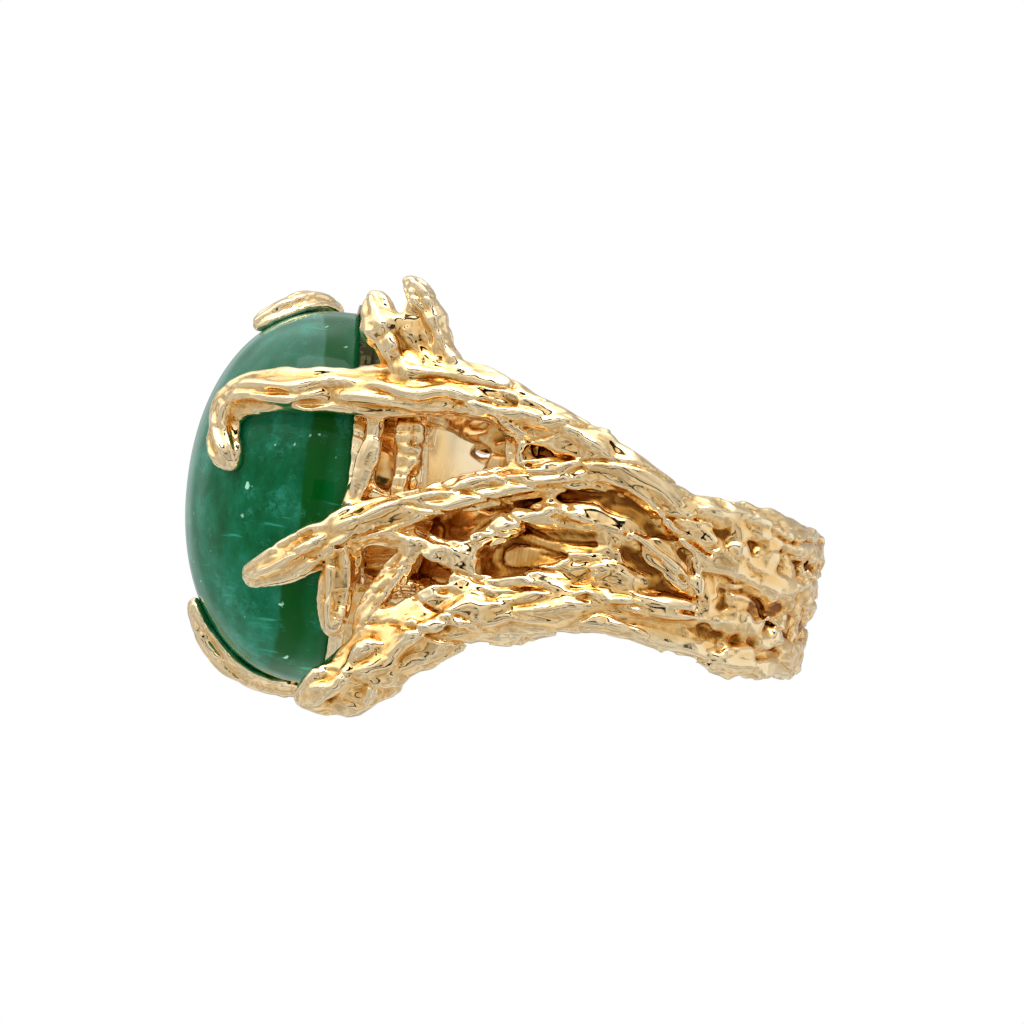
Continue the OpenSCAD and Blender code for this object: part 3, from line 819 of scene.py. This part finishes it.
def gold_material(name, bump, rough_low, rough_high, shaded=False):
    """Yellow gold with painted shade, redder in the hollows, and a painted highlight, paler on the
    ridges; unevenly polished. The bump is in millimetres. A shaded one has painted shade, nearly black,
    in the deep recess beside the stone's top end."""
    made, tree, skin = new_material(name)
    relief = node_of(tree, "ShaderNodeAttribute", attribute_name="relief")
    skin.inputs["Metallic"].default_value = 1.0
    colour = ramp(tree, relief.outputs["Fac"], GOLD_SHADE_STOPS)
    if shaded:
        # painted shade, nearly black, in the recess beside the stone's top end
        colour = mixed(tree, recess_shade_factor(tree), colour, PAINTED_SHADE_GOLD)
    tree.links.new(colour, skin.inputs["Base Color"])
    blend = node_of(tree, "ShaderNodeMapRange")
    blend.inputs["From Min"].default_value = PATCH[0]
    blend.inputs["From Max"].default_value = PATCH[1]
    blend.inputs["To Min"].default_value = rough_low
    blend.inputs["To Max"].default_value = rough_high
    tree.links.new(noise_of(tree, PATCH_SCALE, 3.0), blend.inputs["Value"])
    tree.links.new(blend.outputs["Result"], skin.inputs["Roughness"])
    if bump:
        grain = node_of(tree, "ShaderNodeBump")
        grain.inputs["Strength"].default_value = 1.0
        grain.inputs["Distance"].default_value = bump * MM
        tree.links.new(noise_of(tree, GRAIN_SCALE, 3.0), grain.inputs["Height"])
        tree.links.new(grain.outputs["Normal"], skin.inputs["Normal"])
    return made


def stone_colour(tree):
    """Cloudy green with painted light on its upper end, paler and greyer, and a clear dark stripe, veils,
    streaks and specks.
    """
    body = ramp(tree, noise_of(tree, CLOUD_SCALE, 9.0, (1, 1, 0.7), 0.72), STONE_CLOUD)
    place = axes_of(tree)
    # painted light: the upper end paler and greyer, as where light from above falls
    top_lit = above(tree, place["Z"], TOP_LIGHT_HEIGHTS[0] * MM, TOP_LIGHT_HEIGHTS[1] * MM)
    body = mixed(tree, top_lit, body, STONE_TOP_LIGHT)
    sway = node_of(tree, "ShaderNodeMath", operation="MULTIPLY_ADD")
    tree.links.new(noise_of(tree, SWAY_SCALE, 3.0), sway.inputs[0])
    sway.inputs[1].default_value = STRIPE_SWAY * MM
    tree.links.new(place["X"], sway.inputs[2])
    depth = sway.outputs["Value"]
    stripe_start = above(tree, depth, STRIPE[0] * MM, (STRIPE[0] + STRIPE_EDGE) * MM)
    body = mixed(tree, stripe_start, body, STRIPE_GREEN)
    stripe_end = above(tree, depth, STRIPE[1] * MM, (STRIPE[1] + 3 * STRIPE_EDGE) * MM)
    body = mixed(tree, stripe_end, body, GIRDLE_GREEN)
    veil = above(tree, noise_of(tree, VEIL_SCALE, 9.0, (1, 1, 1), 0.8), *VEIL)
    body = mixed(tree, veil, body, VEIL_GREEN)
    streak = above(tree, noise_of(tree, STREAK_SCALE, 3.0, (0.5, 0.5, 4.0), 0.6), *STREAK)
    body = mixed(tree, streak, body, STREAK_GREEN)
    speck = above(tree, noise_of(tree, SPECK_SCALE, 2.0), *SPECK)
    return mixed(tree, speck, body, SPECK_GREEN)


def polish_share(tree):
    """How much the stone mirrors: more towards its outline, where it is seen at a low angle."""
    low_angle = node_of(tree, "ShaderNodeLayerWeight")
    low_angle.inputs["Blend"].default_value = 0.5
    steep = node_of(tree, "ShaderNodeMath", operation="POWER")
    tree.links.new(low_angle.outputs["Facing"], steep.inputs[0])
    steep.inputs[1].default_value = POLISH_FALL
    share = node_of(tree, "ShaderNodeMath", operation="MULTIPLY")
    tree.links.new(steep.outputs["Value"], share.inputs[0])
    share.inputs[1].default_value = POLISH
    return share.outputs["Value"]


def stone_material():
    """The green stone: its cloudy body under a polish that shows towards the outline."""
    made, tree, skin = new_material("green_stone")
    tree.links.new(stone_colour(tree), skin.inputs["Base Color"])
    skin.inputs["Roughness"].default_value = STONE_ROUGH
    skin.inputs["IOR"].default_value = STONE_IOR
    polish = node_of(tree, "ShaderNodeBsdfAnisotropic")
    polish.inputs["Color"].default_value = (*POLISH_TINT, 1)
    polish.inputs["Roughness"].default_value = POLISH_ROUGH
    both = node_of(tree, "ShaderNodeMixShader")
    tree.links.new(polish_share(tree), both.inputs["Fac"])
    tree.links.new(skin.outputs["BSDF"], both.inputs[1])
    tree.links.new(polish.outputs["BSDF"], both.inputs[2])
    tree.links.new(both.outputs["Shader"], tree.nodes["Material Output"].inputs["Surface"])
    return made


def finish_piece(piece, material, slot, *nodes):
    """Gives a piece its material, hides the CAD nodes it replaces, and hangs it under the root body."""
    piece.data.materials.append(material)
    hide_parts(*nodes)
    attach(piece, "root")


def finish_gold(pieces):
    """The materials of all the gold pieces."""
    bark_gold = gold_material("bark_gold", 0.003, 0.05, 0.16)
    back_gold = gold_material("back_gold", 0.004, 0.10, 0.24)
    band_gold = gold_material("band_gold", 0.0, 0.20, 0.30)
    seat_gold = gold_material("seat_gold", 0.003, 0.10, 0.24, shaded=True)
    for name, piece in pieces.items():
        if name == "inner_band":
            finish_piece(piece, band_gold, "band_gold", name)
        elif name in SEAT_PARTS:
            finish_piece(piece, seat_gold, "seat_gold", name)
        elif name in ["back_nuggets", "back_branches"] + STRIPS:
            finish_piece(piece, back_gold, "bark_gold", name)
        else:
            finish_piece(piece, bark_gold, "bark_gold", name)


# ---------------------------------------------------------------- the stone

def head_turn():
    """From the head's own frame, which rises along Z from the stone's base, to the ring's."""
    return Matrix.Translation((SEAT_X, 0, 0)) @ Matrix.Rotation(math.radians(-90 - HEAD_LEAN), 4, "Y")


def dome_rings(height):
    """(height, share of the full width) of each ring of the cabochon, from its base up. The
    base's edge is barely bevelled."""
    rings = [(0.0, 0.995), (0.02, 1.0)]
    for i in range(DOME_RINGS):
        rise = math.sin(math.pi / 2 * i / DOME_RINGS)
        share = (1 - rise ** DOME_POWER) ** (1 / DOME_ROOT) if i else 1.0
        rings.append((GIRDLE + (height - GIRDLE) * rise, share))
    return rings


def dome():
    """The cabochon as one smooth dome on a short straight girdle."""
    turn = head_turn()
    back = np.array(turn.inverted())
    corners = cad_mesh("cabochon")[0] @ back[:3, :3].T + back[:3, 3]
    length, width, height = corners.max(axis=0) - corners.min(axis=0) * (1, 1, 0)
    rings = dome_rings(height)
    points, faces = [], []
    for h, share in rings:
        for k in range(DOME_SIDES):
            a = 2 * math.pi * k / DOME_SIDES
            x = share * length / 2 * math.cos(a)
            y = share * width / 2 * math.sin(a)
            points.append(turn @ Vector((x, y, h)))
    points.append(turn @ Vector((0, 0, height)))
    for i in range(len(rings) - 1):
        for k in range(DOME_SIDES):
            a, b = i * DOME_SIDES + k, i * DOME_SIDES + (k + 1) % DOME_SIDES
            faces.append((a, b, b + DOME_SIDES, a + DOME_SIDES))
    last = (len(rings) - 1) * DOME_SIDES
    for k in range(DOME_SIDES):
        faces.append((last + k, last + (k + 1) % DOME_SIDES, len(points) - 1))
    faces.append(tuple(range(DOME_SIDES - 1, -1, -1)))
    mesh = bpy.data.meshes.new("cabochon_dome")
    mesh.from_pydata([p * MM for p in points], [], faces)
    mesh.update()
    mesh.polygons.foreach_set("use_smooth", np.ones(len(mesh.polygons), bool))
    mesh.polygons[-1].use_smooth = False
    made = bpy.data.objects.new("cabochon_dome", mesh)
    bpy.context.scene.collection.objects.link(made)
    return made


# ---------------------------------------------------------------- stage, lights, camera

FLOOR_HALF = 1.5            # metres
TENT_R = 0.7                # metres
TENT_GLOW = 2.3             # the tent's brightest part
LIT_FROM = (-0.35, -0.2, 0.9)  # a direction
PATCHES_SCALE = 4.0         # the noise that makes the tent's patches
TENT_PATCHES = [
    (0.35, (0.54, 0.52, 0.50)), (0.5, (0.74, 0.72, 0.69)), (0.65, (0.96, 0.94, 0.90))]
# How brightly the tent is lit, from the side away from LIT_FROM (0) to that side (1).
TENT_LIGHT = [(0.0, 0.40), (0.5, 0.33), (0.75, 0.40), (0.88, 0.8), (1.0, 1.0)]

# Cards round the ring: name, centre and half size in metres, strength. The dark ones draw the
# gold's thin black lines, as a lens and the gaps between studio lights do.
CARDS = [
    ("dark_lens", (-0.02, -0.6, 0.03), (0.07, 0.05), 0.0),
    ("dark_gap_above", (-0.02, -0.40, 0.32), (0.28, 0.054), 0.0),
    ("dark_gap_below", (-0.02, -0.50, -0.20), (0.22, 0.032), 0.0),
    ("dark_gap_right", (0.42, -0.32, 0.05), (0.02, 0.2), 0.0),
    ("bright_back", (0.5, 0.0, 0.08), (0.2, 0.2), 0.92),
    ("bright_top", (-0.05, -0.22, 0.48), (0.25, 0.12), 4.5),
]

# The photo's view: degrees round the ring, up and rolled, the distance, and what the middle of
# the picture looks at, in millimetres right of and above the origin.
VIEW_ANGLES = (-6, -2, 9)
VIEW_DISTANCE = 220
VIEW_AIM = (-4.27, 1.41)
SENSOR, LENS = 36.0, 159.3  # millimetres


def plane(name, centre, half, aim=None):
    """A flat rectangle that lies level, or faces the place aim."""
    x, y = half
    mesh = bpy.data.meshes.new(name)
    mesh.from_pydata([(-x, -y, 0), (x, -y, 0), (x, y, 0), (-x, y, 0)], [], [(0, 1, 2, 3)])
    made = bpy.data.objects.new(name, mesh)
    made.location = centre
    if aim is not None:
        made.rotation_mode = "QUATERNION"
        made.rotation_quaternion = (Vector(aim) - Vector(centre)).to_track_quat("Z", "Y")
    bpy.context.scene.collection.objects.link(made)
    return made


def flat_material(name, colour, strength):
    """A material that only glows."""
    made = bpy.data.materials.new(name)
    made.use_nodes = True
    tree = made.node_tree
    tree.nodes.clear()
    out = tree.nodes.new("ShaderNodeOutputMaterial")
    glow = tree.nodes.new("ShaderNodeEmission")
    glow.inputs["Color"].default_value = (*colour, 1)
    glow.inputs["Strength"].default_value = strength
    tree.links.new(glow.outputs["Emission"], out.inputs["Surface"])
    return made


def card(name, centre, half, strength):
    """A lit or dark card that only shows in the gold and the stone."""
    made = plane(name, centre, half, (0, 0, 0))
    made.data.materials.append(flat_material(name, (1, 1, 1), strength))
    made.visible_camera = False
    made.visible_shadow = False
    made.visible_diffuse = False


def tent_material():
    """Uneven pale cloth, brighter towards LIT_FROM."""
    made = flat_material("tent", (1, 1, 1), 1.0)
    tree = made.node_tree
    patches = ramp(tree, noise_of(tree, PATCHES_SCALE, 1.0), TENT_PATCHES)
    tree.links.new(patches, tree.nodes["Emission"].inputs["Color"])
    toward = node_of(tree, "ShaderNodeVectorMath", operation="DOT_PRODUCT")
    tree.links.new(object_places(tree), toward.inputs[0])
    toward.inputs[1].default_value = Vector(LIT_FROM).normalized() / TENT_R
    level = above(tree, toward.outputs["Value"], -1.0, 1.0)
    light = ramp(tree, level, [(place, (value,) * 3) for place, value in TENT_LIGHT])
    strength = node_of(tree, "ShaderNodeMath", operation="MULTIPLY")
    strength.inputs[1].default_value = TENT_GLOW
    tree.links.new(light, strength.inputs[0])
    tree.links.new(strength.outputs["Value"], tree.nodes["Emission"].inputs["Strength"])
    return made


def tent():
    """A pale studio tent, unevenly lit. It shows in the gold, and the camera looks through it."""
    shell = bmesh.new()
    bmesh.ops.create_uvsphere(shell, u_segments=48, v_segments=24, radius=TENT_R)
    mesh = bpy.data.meshes.new("tent")
    shell.to_mesh(mesh)
    shell.free()
    made = bpy.data.objects.new("tent", mesh)
    bpy.context.scene.collection.objects.link(made)
    mesh.materials.append(tent_material())
    made.visible_camera = False


def make_stage(floor_z):
    """The floor, the tent, the cards and the white surroundings."""
    floor = plane("floor", (0, 0, floor_z), (FLOOR_HALF, FLOOR_HALF))
    floor.data.materials.append(flat_material("floor_white", (1, 1, 1), 1.0))
    floor.visible_glossy = False
    tent()
    for name, centre, half, strength in CARDS:
        card(name, centre, half, strength)
    world = bpy.context.scene.world or bpy.data.worlds.new("studio")
    bpy.context.scene.world = world
    world.use_nodes = True
    world.node_tree.nodes["Background"].inputs["Color"].default_value = (1, 1, 1, 1)
    world.node_tree.nodes["Background"].inputs["Strength"].default_value = 1.0
    bpy.context.scene.view_settings.view_transform = "Standard"


def make_camera():
    """The camera looks along +Y, a little from the stone's side and from below."""
    azimuth, elevation, roll = (math.radians(v) for v in VIEW_ANGLES)
    level = math.cos(elevation)
    back = Vector((math.sin(azimuth) * level, -math.cos(azimuth) * level, math.sin(elevation)))
    right = Vector((math.cos(azimuth), math.sin(azimuth), 0))
    up = back.cross(right)
    rolled_right = right * math.cos(roll) + up * math.sin(roll)
    rolled_up = up * math.cos(roll) - right * math.sin(roll)
    data = bpy.data.cameras.new("camera")
    data.sensor_width = SENSOR
    data.lens = LENS
    data.clip_start, data.clip_end = 0.01, 10
    made = bpy.data.objects.new("camera", data)
    bpy.context.scene.collection.objects.link(made)
    place = back * (VIEW_DISTANCE * MM)
    target = (rolled_right * VIEW_AIM[0] + rolled_up * VIEW_AIM[1]) * MM
    ahead = (target - place).normalized()
    true_right = ahead.cross(rolled_up).normalized()
    true_up = true_right.cross(ahead)
    made.matrix_world = Matrix((
        (true_right.x, true_up.x, -ahead.x, place.x),
        (true_right.y, true_up.y, -ahead.y, place.y),
        (true_right.z, true_up.z, -ahead.z, place.z),
        (0, 0, 0, 1)))
    bpy.context.scene.camera = made


# ---------------------------------------------------------------- putting it together

make_camera()
build_field()
round_back()
roughen()
clear_hole_and_stone()
finish_gold(cut_apart())
finish_piece(dome(), stone_material(), "stone", "cabochon")

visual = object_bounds()
make_stage(min(cad_bounds[0][2], visual[0].z))
